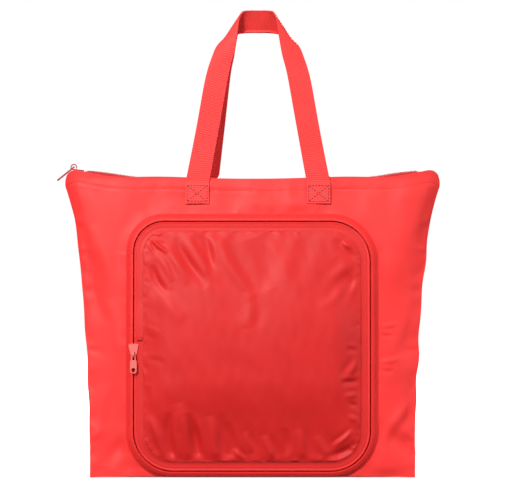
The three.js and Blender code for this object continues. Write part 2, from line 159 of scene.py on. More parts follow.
# ---- ripples and folds in the cloth
def ripple(x, z, seed, wavelength, stretch=1.0, angle=0.0, waves=9):
    """Smooth unevenness of about -1 to 1. stretch lengthens it along the angle, in degrees."""
    rng = np.random.default_rng(seed)
    a = math.radians(angle)
    along = (x * math.cos(a) + z * math.sin(a)) / stretch
    across = -x * math.sin(a) + z * math.cos(a)
    total = np.zeros_like(x)
    for _ in range(waves):
        turn = rng.uniform(0, 2 * math.pi)
        rate = 2 * math.pi / (wavelength * rng.uniform(0.7, 1.5))
        phase = rng.uniform(0, 2 * math.pi)
        total += np.sin(rate * (along * math.cos(turn) + across * math.sin(turn)) + phase)
    return total / math.sqrt(waves * 1.6)


FLANK = 1.3  # how many widths beside a ridge its hollow lies


def crease(x, z, start, end, height, width, lean):
    """One fold: a ridge from start to end that tapers at both ends; lean makes one flank steeper."""
    (x0, z0), (x1, z1) = start, end
    length = math.hypot(x1 - x0, z1 - z0)
    ux, uz = (x1 - x0) / length, (z1 - z0) / length
    along = ((x - x0) * ux + (z - z0) * uz) / length
    off = (-(x - x0) * uz + (z - z0) * ux) / width
    off = off + 0.25 * np.sin(along * 5 + x0)  # it wanders a little from a straight line
    taper = np.clip(along, 0, 1) * np.clip(1 - along, 0, 1) * 4
    ridge = np.exp(-(off**2)) - lean * np.exp(-((off - FLANK) ** 2))
    return height * ridge * taper


# ---- meshes
SHARP_EDGE = math.radians(55)


def surface_normals(points):
    """Unit normals of a grid of points, pointing along row step x column step."""
    along = np.gradient(points, axis=0)
    across = np.gradient(points, axis=1)
    normal = np.cross(along, across)
    return normal / np.maximum(np.linalg.norm(normal, axis=2, keepdims=True), 1e-9)


def new_object(name, vertices, faces, uv, material):
    """An object from vertices in millimetres; uv holds one pair in metres for each vertex."""
    mesh = bpy.data.meshes.new(name)
    mesh.from_pydata((np.asarray(vertices) * MM).tolist(), [], np.asarray(faces).tolist())
    layer = mesh.uv_layers.new(name="UVMap")
    corner = np.zeros(len(mesh.loops), np.int32)
    mesh.loops.foreach_get("vertex_index", corner)
    layer.data.foreach_set("uv", np.asarray(uv, np.float32)[corner].ravel())
    mesh.polygons.foreach_set("use_smooth", [True] * len(mesh.polygons))
    mesh.set_sharp_from_angle(angle=SHARP_EDGE)
    mesh.materials.append(material)
    obj = bpy.data.objects.new(name, mesh)
    scene.collection.objects.link(obj)
    return obj


def sheet_mesh(name, points, material, thickness=FABRIC_THICK, out=(0, -1, 0), uv=None, loop=False):
    """A two-sided sheet over a grid of points, thickened away from the outward side.

    loop joins the last row to the first."""
    points = np.asarray(points, float)
    rows, columns = points.shape[:2]
    if loop:
        wrapped = np.concatenate([points[-2:], points, points[:2]])
        normal = surface_normals(wrapped)[2:-2]
    else:
        normal = surface_normals(points)
    turned = np.mean(normal @ np.array(out, float)) < 0
    if turned:
        normal = -normal
    if uv is None:
        steps = np.linalg.norm(np.diff(points, axis=0), axis=2).mean(axis=1)
        widths = np.linalg.norm(np.diff(points, axis=1), axis=2).mean(axis=0)
        v = np.concatenate([[0], np.cumsum(steps)])
        u = np.concatenate([[0], np.cumsum(widths)])
        uv = np.stack(np.meshgrid(u, v), axis=2)
    vertices = np.concatenate([points.reshape(-1, 3), (points - normal * thickness).reshape(-1, 3)])
    index = np.arange(rows * columns).reshape(rows, columns)
    if loop:
        index = np.concatenate([index, index[:1]])
    a, b, c, d = index[:-1, :-1], index[:-1, 1:], index[1:, 1:], index[1:, :-1]
    quads = np.stack([a, d, c, b] if not turned else [a, b, c, d], axis=2).reshape(-1, 4)
    under = quads[:, ::-1] + rows * columns
    rim = [(index[:, 0], True), (index[:, -1], False)]
    if not loop:
        rim += [(index[0], False), (index[-1], True)]
    sides = []
    for line, forward in rim:
        p, q = line[:-1], line[1:]
        if forward != turned:
            p, q = q, p
        sides.append(np.stack([p, q, q + rows * columns, p + rows * columns], axis=1))
    faces = np.concatenate([quads, under, *sides])
    flat_uv = uv.reshape(-1, 2) * MM
    return new_object(name, vertices, faces, np.concatenate([flat_uv, flat_uv]), material)


def bead(segments=8, rings=3):
    """A rounded bead of half-length 1 along X and radius 1: its points and its faces."""
    points, faces = [(-1, 0, 0)], []
    for ring in range(rings):
        angle = math.pi * (ring + 1) / (rings + 1)
        for k in range(segments):
            turn = 2 * math.pi * k / segments
            reach = math.sin(angle)
            points.append((-math.cos(angle), reach * math.cos(turn), reach * math.sin(turn)))
    points.append((1, 0, 0))
    last = len(points) - 1
    for k in range(segments):
        after = (k + 1) % segments
        faces.append((0, 1 + after, 1 + k))
        faces.append((last, last - segments + k, last - segments + after))
        for ring in range(rings - 1):
            a = 1 + ring * segments
            faces.append((a + k, a + after, a + segments + after))
            faces.append((a + k, a + segments + after, a + segments + k))
    return np.array(points, float), np.array(faces)


def beads(name, centres, directions, half_length, radius, material, flat=None, normals=None):
    """Many small rounded beads in one mesh: zip teeth or stitches. flat squashes them along normals."""
    shape, faces = bead()
    centres = np.asarray(centres, float)
    along = np.asarray(directions, float)
    along = along / np.linalg.norm(along, axis=1, keepdims=True)
    up = np.tile([0.0, -1.0, 0.0], (len(centres), 1)) if normals is None else np.asarray(normals, float)
    side = np.cross(up, along)
    side = side / np.linalg.norm(side, axis=1, keepdims=True)
    up = np.cross(along, side)
    thin = radius if flat is None else flat
    points = (
        centres[:, None, :]
        + shape[None, :, 0:1] * half_length * along[:, None, :]
        + shape[None, :, 1:2] * radius * side[:, None, :]
        + shape[None, :, 2:3] * thin * up[:, None, :]
    )
    count = len(shape)
    all_faces = (faces[None] + (np.arange(len(centres)) * count)[:, None, None]).reshape(-1, 3)
    vertices = points.reshape(-1, 3)
    return new_object(name, vertices, all_faces, vertices[:, [0, 2]] * MM, material)


def resample(path, pitch):
    """Points every pitch along a polyline, with the unit direction at each."""
    path = np.asarray(path, float)
    lengths = np.linalg.norm(np.diff(path, axis=0), axis=1)
    reach = np.concatenate([[0], np.cumsum(lengths)])
    count = max(2, int(reach[-1] / pitch))
    wanted = (np.arange(count) + 0.5) * reach[-1] / count

    def places(lengths_along):
        return np.stack([np.interp(lengths_along, reach, path[:, k]) for k in range(3)], axis=1)

    direction = places(wanted + 0.3) - places(wanted - 0.3)
    return places(wanted), direction / np.linalg.norm(direction, axis=1, keepdims=True)


# ---- materials
def principled(name, colour, roughness):
    material = bpy.data.materials.new(name)
    material.use_nodes = True
    shader = material.node_tree.nodes["Principled BSDF"]
    shader.inputs["Base Color"].default_value = (*colour, 1)
    shader.inputs["Roughness"].default_value = roughness
    return material, shader


def noise_texture(tree, place, scale, detail):
    texture = tree.nodes.new("ShaderNodeTexNoise")
    texture.inputs["Scale"].default_value = scale
    texture.inputs["Detail"].default_value = detail
    tree.links.new(place.outputs["UV"], texture.inputs["Vector"])
    return texture


def bump_from(tree, texture, strength, distance):
    bump = tree.nodes.new("ShaderNodeBump")
    bump.inputs["Strength"].default_value = strength
    bump.inputs["Distance"].default_value = distance
    tree.links.new(texture.outputs["Fac"], bump.inputs["Height"])
    return bump


COLOUR_VARIES = 0.06


def woven(name, colour, roughness=0.55, gloss=0.32, ribs=0.0, rib_scale=157.0):
    """Cloth: a fine weave in the bump, a little unevenness in the colour, and ribs on webbing and tape."""
    material, shader = principled(name, colour, roughness)
    tree = material.node_tree
    shader.inputs["Sheen Weight"].default_value = 0.1
    shader.inputs["Sheen Roughness"].default_value = 0.4
    shader.inputs["Sheen Tint"].default_value = (1.0, 0.5, 0.45, 1)
    shader.inputs["Specular IOR Level"].default_value = gloss
    place = tree.nodes.new("ShaderNodeTexCoord")
    bump = bump_from(tree, noise_texture(tree, place, 1400.0, 2.0), 0.5, 0.00006)
    if ribs:
        wave = tree.nodes.new("ShaderNodeTexWave")
        wave.bands_direction = "Y"
        wave.inputs["Scale"].default_value = rib_scale
        wave.inputs["Distortion"].default_value = 0.4
        tree.links.new(place.outputs["UV"], wave.inputs["Vector"])
        ridge = bump_from(tree, wave, 0.8, ribs)
        tree.links.new(bump.outputs["Normal"], ridge.inputs["Normal"])
        bump = ridge
    tree.links.new(bump.outputs["Normal"], shader.inputs["Normal"])
    blotch = noise_texture(tree, place, 24.0, 3.0)
    ramp = tree.nodes.new("ShaderNodeValToRGB")
    darker, lighter = ramp.color_ramp.elements
    darker.position = 0.3
    darker.color = (*(c * (1 - COLOUR_VARIES) for c in colour), 1)
    lighter.position = 0.7
    lighter.color = (*(min(1, c * (1 + COLOUR_VARIES / 2)) for c in colour), 1)
    tree.links.new(blotch.outputs["Fac"], ramp.inputs["Fac"])
    tree.links.new(ramp.outputs["Color"], shader.inputs["Base Color"])
    return material


BAG_CLOTH = woven("bag_cloth", (0.92, 0.034, 0.031))
POCKET_CLOTH = woven("pocket_cloth", (0.645, 0.013, 0.012))
INSIDE_CLOTH = woven("inside_cloth", (0.66, 0.03, 0.028))
# the bottom panel's cloth is coloured far darker than the bag's: painted shade, so its rim reads as the dark
# shadow line under the front's bottom edge
BASE_PAINTED_SHADE_CLOTH = woven("base_cloth_painted_shade", (0.34, 0.03, 0.03))
WEBBING_CLOTH = woven("webbing_cloth", (0.88, 0.042, 0.039), roughness=0.6, gloss=0.4, ribs=0.00025)
FOLD_CLOTH = woven("fold_cloth", (0.7, 0.018, 0.016))
TAPE_RIBS = {"ribs": 0.00008, "rib_scale": 420.0}
END_TAB_CLOTH = woven("tape_cloth", (0.66, 0.016, 0.015), **TAPE_RIBS)
POCKET_TAPE_CLOTH = woven("pocket_tape_cloth", (0.82, 0.022, 0.02), **TAPE_RIBS)
# the mouth's tape is coloured much darker than the pocket's tape: painted shade for the dark line along the
# mouth
MOUTH_TAPE_PAINTED_SHADE = woven("mouth_tape_painted_shade", (0.48, 0.014, 0.014), **TAPE_RIBS)
THREAD, _ = principled("stitch_thread", (0.26, 0.005, 0.005), 0.6)
POCKET_THREAD, _ = principled("pocket_stitch_thread", (0.7, 0.05, 0.045), 0.55)
COIL, COIL_SHADER = principled("zip_coil_nylon", (0.8, 0.005, 0.005), 0.5)
COIL_SHADER.inputs["Specular IOR Level"].default_value = 0.2
# the mouth's coil is coloured far darker than the pocket's coil: painted shade for the same dark line
MOUTH_COIL_PAINTED_SHADE, _ = principled("mouth_coil_painted_shade", (0.3, 0.008, 0.01), 0.4)
# the mouth's slider and pull: the pocket slider's pink paint darkened to mauve, as painted shade
PAINTED_SHADE_PULL_METAL, _ = principled("pull_metal_painted_shade", (0.42, 0.05, 0.06), 0.35)
PINK_METAL, PINK_SHADER = principled("painted_slider_metal", (0.84, 0.17, 0.15), 0.3)
PINK_SHADER.inputs["Coat Weight"].default_value = 0.3


# ---- the pocket's zip line
def arc(centre_x, centre_z, radius, start, end, steps):
    angles = np.radians(np.linspace(start, end, steps))
    return np.stack([centre_x + radius * np.cos(angles), centre_z + radius * np.sin(angles)], axis=1)


def zip_line():
    """The closed zip line, clockwise from the top left corner, and its outward normals."""
    top_left = (POCKET_LEFT + CORNER_TOP_LEFT, POCKET_TOP - CORNER_TOP_LEFT)
    corners = [
        arc(*top_left, CORNER_TOP_LEFT, 180, 90, 30),
        arc(POCKET_RIGHT - CORNER, POCKET_TOP - CORNER, CORNER, 90, 0, 36),
        arc(POCKET_RIGHT - CORNER, POCKET_BOTTOM + CORNER, CORNER, 0, -90, 36),
        arc(POCKET_LEFT + CORNER, POCKET_BOTTOM + CORNER, CORNER, 270, 180, 36),
    ]
    path = []
    for k, corner in enumerate(corners):
        path.append(corner)
        start, end = corner[-1], corners[(k + 1) % 4][0]
        count = int(np.linalg.norm(end - start) / 2)
        path.append(start + (end - start) * np.linspace(0, 1, count, endpoint=False)[1:, None])
    path = np.concatenate(path)
    ahead = np.roll(path, -1, axis=0) - np.roll(path, 1, axis=0)
    outward = np.stack([-ahead[:, 1], ahead[:, 0]], axis=1)
    outward /= np.linalg.norm(outward, axis=1, keepdims=True)
    return path, outward


ZIP_LINE, ZIP_OUT = zip_line()
ZIP_ARC = np.concatenate([[0], np.cumsum(np.linalg.norm(np.diff(ZIP_LINE, axis=0), axis=1))])


def from_zip(x, z):
    """Distance from the zip line, positive outside it, and how far round the line the nearest point is."""
    flat = np.stack([np.ravel(x), np.ravel(z)], axis=1)
    best = np.full(len(flat), np.inf)
    sign = np.zeros(len(flat))
    arc_length = np.zeros(len(flat))
    for point, out, reach in zip(ZIP_LINE, ZIP_OUT, ZIP_ARC):
        offset = flat - point
        distance = np.hypot(offset[:, 0], offset[:, 1])
        nearer = distance < best
        best[nearer] = distance[nearer]
        sign[nearer] = np.sign(offset[nearer] @ out)
        arc_length[nearer] = reach + offset[nearer] @ np.array([out[1], -out[0]])
    return (best * sign).reshape(np.shape(x)), arc_length.reshape(np.shape(x))


# ---- front and back panels
PANEL_ROWS, PANEL_COLUMNS = 210, 250
# the front's bottom edge arches up a little so the darkened bottom cloth's rim shows beneath it as a painted
# shadow line
BASE_ARCH = 1.3
ACROSS, UP = np.meshgrid(np.linspace(-1, 1, PANEL_COLUMNS), np.linspace(0, 1, PANEL_ROWS))
BASE_LIFT = BASE_ARCH * (1 - np.abs(ACROSS) ** 6)
PANEL_TOP = panel_top(ACROSS) - edge_dip(ACROSS * TOP_HALF_WIDTH)
PANEL_Z = BASE_LIFT + UP * (PANEL_TOP - BASE_LIFT)
PANEL_X = ACROSS * half_width(PANEL_Z)
EDGE_DISTANCE = half_width(PANEL_Z) - np.abs(PANEL_X)
TOP_DISTANCE = PANEL_TOP - PANEL_Z
HEM_DISTANCE = np.abs(TOP_DISTANCE - FACING_HEIGHT)
# folds die away at the side and bottom seams, and are weaker at the hem
SEAM_FADE = smooth(0, 14, EDGE_DISTANCE) * smooth(0, 12, PANEL_Z)
HEM_FADE = 0.35 + 0.65 * smooth(4, 26, TOP_DISTANCE)


def puckers(distance, along, start, end, spacing, reach, seed):
    """Uneven little tucks that leave a seam between two places along it and die away from it."""
    rng = np.random.default_rng(seed)
    total = np.zeros_like(distance)
    at = start
    while at < end:
        width = rng.uniform(0.2, 0.42) * spacing
        length = reach * rng.uniform(0.4, 1.5)
        slant = rng.uniform(-0.45, 0.45)
        height = rng.uniform(0.25, 1.0) * rng.choice([-0.8, 1.0])
        off = (along - at - slant * distance) / (width * (1 + distance / length))
        rise = np.maximum(distance, 0) / length * 3
        total += height * np.exp(-(off**2)) * rise * np.exp(1 - rise)
        at += spacing * rng.uniform(0.45, 1.6)
    return total


# broad, medium and fine waves: (height, wavelength, stretch, how many are added up)
PANEL_WAVES = [(1.9, 110, 1.8, 9), (0.85, 48, 2.2, 12), (0.12, 17, 2.4, 14)]
GROOVE_DEPTH, GROOVE_WIDTH = 0.45, 1.1
HEM_GROOVE = -GROOVE_DEPTH * np.exp(-((HEM_DISTANCE / GROOVE_WIDTH) ** 2))
SEAM_SEED = {-1: 23, 1: 24}
SEAM_WANDER = {-1: 0.56, 1: 0.7}


def panel_waves(seed, lean):
    """Unevenness that runs mostly along lean, in degrees."""
    total = 0
    for k, (height, wavelength, stretch, waves) in enumerate(PANEL_WAVES):
        total = total + height * ripple(PANEL_X, PANEL_Z, seed + k, wavelength, stretch, lean, waves)
    return total


def seam_wander(z, side):
    """How far the left (-1) or right (1) seam wanders from its line."""
    wave = ripple(z, np.zeros_like(z), SEAM_SEED[side], 46, waves=7)
    return SEAM_WANDER[side] * wave * smooth(5, 40, z) * (1 - smooth(270, 300, z))


wander = np.where(ACROSS < 0, seam_wander(PANEL_Z, -1), seam_wander(PANEL_Z, 1))
PANEL_X = PANEL_X + np.sign(ACROSS) * np.abs(ACROSS) ** 10 * wander


def panel_sheet(name, side, lift, uv_turn=0.0):
    depth = depth_at(PANEL_X, PANEL_Z) + lift
    points = np.stack([PANEL_X, side * depth, PANEL_Z], axis=2)
    uv = np.stack([PANEL_X + uv_turn, PANEL_Z], axis=2)
    return sheet_mesh(name, points, BAG_CLOTH, out=(0, side, 0), uv=uv)


# the front's folds, placed after the photo: (start, end, height, width); a valley's height is below zero
FRONT_FOLDS = [
    # broad ones beside the pocket, which the back repeats
    ((-168, 268), (-150, 190), 1.7, 9), ((-184, 268), (-172, 220), -1.6, 6),
    ((-158, 100), (-166, 16), 1.4, 8), ((-150, 180), (-144, 90), -1.0, 9),
    ((188, 302), (138, 195), 1.3, 13), ((150, 225), (172, 110), -0.8, 10), ((166, 190), (150, 130), 1.1, 7),
    # short ones that leave the right of the zip
    ((131, 160), (156, 163), 1.0, 2.4), ((131, 152), (150, 149), -0.9, 2.2),
    ((131, 122), (158, 126), 0.9, 2.6), ((131, 114), (150, 112), -0.8, 2.4),
    # the lower corners, the left side and the band above the pocket
    ((132, 62), (176, 18), -2.4, 10), ((168, 84), (138, 36), 1.9, 6), ((156, 100), (166, 30), 1.2, 7),
    ((-134, 46), (-152, 10), -2.0, 8), ((-170, 214), (-158, 160), -1.1, 7),
    ((-100, 292), (-20, 284), 0.8, 7), ((30, 288), (110, 292), 0.7, 7),
]
BROAD_FOLDS = 7
POCKET_DISTANCE, POCKET_ARC = from_zip(PANEL_X, PANEL_Z)
ZIP_LENGTH = float(ZIP_ARC[-1])
SIDE_TUCKS, ZIP_TUCKS, HEM_TUCKS = 1.1, 0.6, 0.5
SIDE_SPAN, HEM_SPAN = (15, 285), (-190, 190)
ZIP_BAND = 6.0  # no folds this near the zip line, under the tape
front_waves = panel_waves(11, 100)
for start, end, height, width in FRONT_FOLDS:
    front_waves += crease(PANEL_X, PANEL_Z, start, end, height, width, 0.4)
side_puckers = puckers(EDGE_DISTANCE, PANEL_Z, *SIDE_SPAN, 13, 14, 5)
zip_puckers = puckers(POCKET_DISTANCE - ZIP_BAND, POCKET_ARC, 0, ZIP_LENGTH, 14, 10, 6)
near_zip = smooth(ZIP_BAND, 20, np.abs(POCKET_DISTANCE))
under_pocket = np.where(POCKET_DISTANCE < 0, 0.25, 1.0)
front_lift = front_waves * SEAM_FADE * HEM_FADE * near_zip * under_pocket
front_lift += SIDE_TUCKS * side_puckers * smooth(0, 12, PANEL_Z)
front_lift += ZIP_TUCKS * zip_puckers * (POCKET_DISTANCE > ZIP_BAND)
front_lift += HEM_TUCKS * puckers(HEM_DISTANCE, PANEL_X, *HEM_SPAN, 11, 7, 7) + HEM_GROOVE
front_cloth = panel_sheet("front_cloth", -1, front_lift)
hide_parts("front_panel")

back_lift = panel_waves(31, 80) * SEAM_FADE * HEM_FADE
back_lift += SIDE_TUCKS * puckers(EDGE_DISTANCE, PANEL_Z, *SIDE_SPAN, 14, 14, 8)
back_lift += HEM_TUCKS * puckers(HEM_DISTANCE, PANEL_X, *HEM_SPAN, 11, 7, 9) + HEM_GROOVE
for start, end, height, width in FRONT_FOLDS[:BROAD_FOLDS]:
    back_lift += crease(-PANEL_X, PANEL_Z, start, end, height, width + 2, 0.3) * SEAM_FADE
back_cloth = panel_sheet("back_cloth", 1, back_lift, uv_turn=500)
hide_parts("back_panel")


def lift_at(lift, x, z):
    """A panel's lift at one place, read off its grid."""
    column = (x / half_width(z) + 1) / 2 * (PANEL_COLUMNS - 1)
    k = min(max(int(column), 0), PANEL_COLUMNS - 2)
    share = column - k
    heights = PANEL_Z[:, k] * (1 - share) + PANEL_Z[:, k + 1] * share
    return np.interp(z, heights, lift[:, k] * (1 - share) + lift[:, k + 1] * share)


LIFTS = {"front": front_lift, "back": back_lift}
lift_on = np.vectorize(lift_at, excluded=[0])
for cloth in (front_cloth, back_cloth):
    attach(cloth, "bag")

# ---- gussets, bottom and facings
END_CLOSED = 325.0  # the gusset cloth closes the bag's ends up to here
SEAM_GAP = 0.3
CORNER_SHARE = np.linspace(1, CORNER_START, 60)


def side_line(z):
    """The panels' side edge at each height, round the corner at the mouth as well."""
    return half_width(z) * np.interp(z, panel_top(CORNER_SHARE), CORNER_SHARE)


gusset_z, gusset_v = np.meshgrid(np.linspace(0, END_CLOSED, 140), np.linspace(-1, 1, 26), indexing="ij")
for name, side in (("left", -1), ("right", 1)):
    reach = depth_at(side_line(gusset_z), gusset_z) - SEAM_GAP
    fold = 1 - gusset_v**2
    ruffle = 0.54 * fold * ripple(gusset_z, gusset_v * 20, 50 + side, 34, waves=8)
    inward = 0.6 + 1.2 * fold * smooth(20, 220, gusset_z)
    tucked = 2.0 * smooth(316, END_CLOSED, gusset_z)
    x = side * (side_line(gusset_z) + seam_wander(gusset_z, side) - inward - tucked + ruffle)
    points = np.stack([x, gusset_v * reach, gusset_z], axis=2)
    gusset = sheet_mesh(f"{name}_gusset_cloth", points, BAG_CLOTH, out=(side, 0, 0))
    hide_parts(f"{name}_gusset")
    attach(gusset, "bag")

BASE_MARGIN, RIM_RISE, BASE_CLEAR = 1.2, 1.5, 0.02
base_x = BASE_HALF_WIDTH - BASE_MARGIN
base_y = BASE_DEPTH - BASE_MARGIN
bottom_u, bottom_v = np.meshgrid(np.linspace(-1, 1, 120), np.linspace(-1, 1, 26))
from_middle = np.maximum(np.abs(bottom_u), np.abs(bottom_v))
base_lift = 0.3 * np.abs(ripple(bottom_u * base_x, bottom_v * base_y, 61, 40)) * (1 - from_middle**8)
turned_up = RIM_RISE * (smooth(0.985, 1, np.abs(bottom_u)) + smooth(0.9, 1, np.abs(bottom_v)))
bottom_z = base_lift + np.minimum(turned_up, RIM_RISE) + BASE_CLEAR
points = np.stack([bottom_u * base_x, bottom_v * base_y, bottom_z], axis=2)
# its darkened cloth is painted shade for the shadow line along the base
bottom_cloth = sheet_mesh("bottom_cloth", points, BASE_PAINTED_SHADE_CLOTH, out=(0, 0, -1))
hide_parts("bottom_panel")
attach(bottom_cloth, "bag")

FACING_HALF_WIDTH, FACING_CUT = 180.0, 361.0
FACING_BELOW, FACING_BEHIND = 0.6, 0.9  # how far it stays below the mouth's edge and behind the panel
facing_x, facing_v = np.meshgrid(np.linspace(-1, 1, 200) * FACING_HALF_WIDTH, np.linspace(0, 1, 12))
for name, side in (("front", -1), ("back", 1)):
    z = mouth_z(facing_x) - edge_dip(facing_x) - FACING_BELOW - FACING_HEIGHT * (1 - facing_v)
    panel_lift = np.minimum(lift_on(LIFTS[name], facing_x, z), 0.4)
    slack = 0.2 * np.abs(ripple(facing_x, z, 70 + side, 26))
    inner = depth_at(facing_x, z) + panel_lift - FACING_BEHIND - slack
    points = np.stack([facing_x, side * inner, z], axis=2)
    band = sheet_mesh(f"{name}_facing_cloth", points, INSIDE_CLOTH, out=(0, -side, 0))
    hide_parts(f"{name}_facing")
    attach(band, "bag")

# ---- the pocket's panel
FLAP_ROWS, FLAP_COLUMNS = 250, 240


def corner_cut(corner_radius, beyond):
    """How far a round corner of the flap comes in, beyond the height where the corner starts."""
    radius = corner_radius - FLAP_INSET
    rise = np.clip(beyond, 0, radius)
    return radius - np.sqrt(np.maximum(0, radius**2 - rise**2))


def flap_span(z):
    """The flap's left and right edge at each height."""
    lower = corner_cut(CORNER, POCKET_BOTTOM + CORNER - z)
    left = corner_cut(CORNER_TOP_LEFT, z - (POCKET_TOP - CORNER_TOP_LEFT)) + lower
    right = corner_cut(CORNER, z - (POCKET_TOP - CORNER)) + lower
    return POCKET_LEFT + FLAP_INSET + left, POCKET_RIGHT - FLAP_INSET - right


def flap_grid():
    """X and Z of the flap's points, with rows that lie closer together near its top and bottom."""
    even = np.linspace(0, 1, FLAP_ROWS)
    up = 0.6 * (1 - np.cos(even * math.pi)) / 2 + 0.4 * even
    z = POCKET_BOTTOM + FLAP_INSET + (POCKET_TOP - POCKET_BOTTOM - 2 * FLAP_INSET) * up
    left, right = flap_span(z)
    x = left[:, None] + (right - left)[:, None] * np.linspace(0, 1, FLAP_COLUMNS)
    return x, np.repeat(z[:, None], FLAP_COLUMNS, axis=1)


FLAP_X, FLAP_Z = flap_grid()
FLAP_DISTANCE, FLAP_ARC = from_zip(FLAP_X, FLAP_Z)
FLAP_DISTANCE = np.maximum(-FLAP_DISTANCE - FLAP_INSET, 0)

PILLOW_REACH = 25.0
POCKET_BELLY, POCKET_HOLLOW = 5.8, 1.5
CLOTH_ABOVE_TAPE = 0.6


def flap_base(x, z, edge):
    """The flap's smooth pillow: depth of its outer side before any fold."""
    rise = FLAP_RISE * (1 - np.exp(-edge / PILLOW_REACH))
    belly = POCKET_BELLY * smooth(46, 104, z) * (1 - smooth(120, 250, z))
    belly -= POCKET_HOLLOW * (1 - smooth(20, 60, z))
    seam = np.maximum(depth_at(x, z), zip_depth(x, z)) + FLAP_EDGE + CLOTH_ABOVE_TAPE
    return seam + rise + belly * smooth(0, 30, edge)


# the pocket's folds, placed after the photo, in the same form as the front's
FLAP_FOLDS = [
    # streaks that run down to the right from the top seam
    ((-38, 256), (-2, 186), 2.6, 8), ((-4, 196), (-4, 158), 1.2, 7), ((-82, 254), (-49, 200), -2.2, 5.5),
    ((-54, 261), (-41, 222), -1.7, 4.5), ((-68, 257), (-46, 214), 1.5, 4.5),
    ((-98, 250), (-66, 205), 1.4, 6), ((-108, 224), (-91, 194), -1.8, 4), ((-104, 240), (-82, 208), 1.2, 4.5),
    ((2, 254), (20, 200), -2.0, 13), ((46, 258), (34, 214), 0.5, 8), ((72, 250), (56, 196), 0.5, 9),
    ((95, 250), (110, 242), 1.6, 3.5), ((88, 255), (106, 228), -1.2, 5), ((112, 216), (92, 184), -1.3, 5),
    ((104, 232), (84, 206), 1.1, 6), ((70, 180), (112, 206), 1.0, 6),
    # from the left seam beside the slider
    ((-118, 162), (-96, 152), 0.3, 3), ((-118, 152), (-100, 146), -0.3, 2.6),
    ((-118, 128), (-90, 121), -0.4, 3.5), ((-110, 196), (-70, 168), 1.2, 10),
    # tongues that rise from the bottom seam
    ((-78, 80), (-63, 12), 3.0, 7), ((-46, 66), (-33, 12), 2.8, 6), ((-18, 32), (-8, 11), 1.9, 3.5),
    ((-6, 50), (-2, 26), 1.3, 3.5), ((14, 46), (21, 12), 2.0, 4.5), ((48, 52), (57, 14), 1.6, 4.5),
    ((-110, 66), (-89, 16), 2.0, 5), ((-88, 70), (-85, 14), -2.8, 4.5), ((-67, 70), (-55, 18), -2.8, 4.5),
    ((-24, 60), (-20, 20), -1.6, 5), ((34, 54), (36, 18), -1.5, 5), ((80, 15), (119, 40), -3.0, 6),
    ((86, 32), (106, 52), 1.6, 3), ((70, 46), (78, 16), 1.5, 5),
    # from the right seam
    ((98, 102), (114, 130), 1.5, 4.5), ((92, 100), (116, 104), -1.3, 3), ((96, 88), (116, 86), 1.1, 3),
    ((100, 80), (116, 76), -1.1, 2.6), ((98, 136), (116, 134), -1.0, 3), ((100, 66), (117, 60), 1.2, 3),
]
FOLD_SHARE = 1.15
# the tucks that fan out of the top left corner: (direction in degrees, length, height, width)
FAN_FROM = (POCKET_LEFT + CORNER_TOP_LEFT - 21, POCKET_TOP - CORNER_TOP_LEFT + 21)
CORNER_FAN = [(-28, 24, 1.6, 1.8), (-42, 34, 2.2, 2.2), (-55, 20, -1.6, 1.8), (-66, 26, 1.4, 2.0),
              (-14, 20, -1.4, 1.8)]
# hollows in the lower corners: (x, z, half-width, half-height, depth)
HOLLOWS = [(104, 24, 20, 13, 3.0), (-112, 28, 14, 18, 2.0)]
# crumpling from broad to fine: (height, seed, wavelength, stretch, lean, how many waves are added up)
FLAP_WAVES = [(0.9, 101, 62, 2.4, 118, 10), (0.28, 102, 26, 2.6, 116, 14), (0.12, 103, 12, 2.0, 110, 16)]
# tucks along the seam: (height, spacing, reach, seed)
FLAP_TUCKS = [(0.6, 8.5, 6, 12), (0.45, 17, 16, 13)]
DEEPEST_FOLD = -4.2


def flap_folds(x, z, edge):
    """The folds that show in the pocket, from the big diagonal ones to fine crumpling."""
    total = np.zeros_like(x)
    for height, seed, wavelength, stretch, lean, waves in FLAP_WAVES:
        total += height * ripple(x, z, seed, wavelength, stretch, lean, waves)
    for start, end, height, width in FLAP_FOLDS:
        total += FOLD_SHARE * crease(x, z, start, end, height, width, 0.5)
    for angle, length, height, width in CORNER_FAN:
        a = math.radians(angle)
        tip = (FAN_FROM[0] + length * math.cos(a), FAN_FROM[1] + length * math.sin(a))
        total += crease(x, z, FAN_FROM, tip, height, width, 0.4)
    for at_x, at_z, wide, high, depth in HOLLOWS:
        total -= depth * np.exp(-(((x - at_x) / wide) ** 2 + ((z - at_z) / high) ** 2))
    return total * smooth(0, 10, edge)


folds = flap_folds(FLAP_X, FLAP_Z, FLAP_DISTANCE)
for height, spacing, reach, seed in FLAP_TUCKS:
    folds += height * puckers(FLAP_DISTANCE, FLAP_ARC, 0, ZIP_LENGTH, spacing, reach, seed)
flap_depth = flap_base(FLAP_X, FLAP_Z, FLAP_DISTANCE) + np.maximum(folds, DEEPEST_FOLD)
points = np.stack([FLAP_X, -flap_depth, FLAP_Z], axis=2)
pocket_cloth = sheet_mesh("pocket_cloth_panel", points, POCKET_CLOTH, uv=np.stack([FLAP_X, FLAP_Z], axis=2))
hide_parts("pocket_panel")
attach(pocket_cloth, "pocket_flap")

# ---- the pocket's zip
COIL_INNER, COIL_MIDDLE = 0.05, 1.3
TOOTH_PITCH, TOOTH_RADIUS = 1.45, 0.5
TOOTH_HALF = (COIL_REACH - COIL_INNER) / 2
TAPE_THICK = 0.5
LOWEST_TAPE = 0.6  # the tape's cloth stays this far above the floor


def zip_points(path, outward, offset, standoff, blend_to_panel=False):
    """Points beside the zip line, in front of the zip's own depth or of the panel's."""
    x = path[:, 0] + outward[:, 0] * offset
    z = np.maximum(path[:, 1] + outward[:, 1] * offset, LOWEST_TAPE)
    on_zip = zip_depth(path[:, 0], path[:, 1])
    depth = depth_at(x, z) if blend_to_panel else on_zip
    return np.stack([x, -(depth + standoff), z], axis=1)


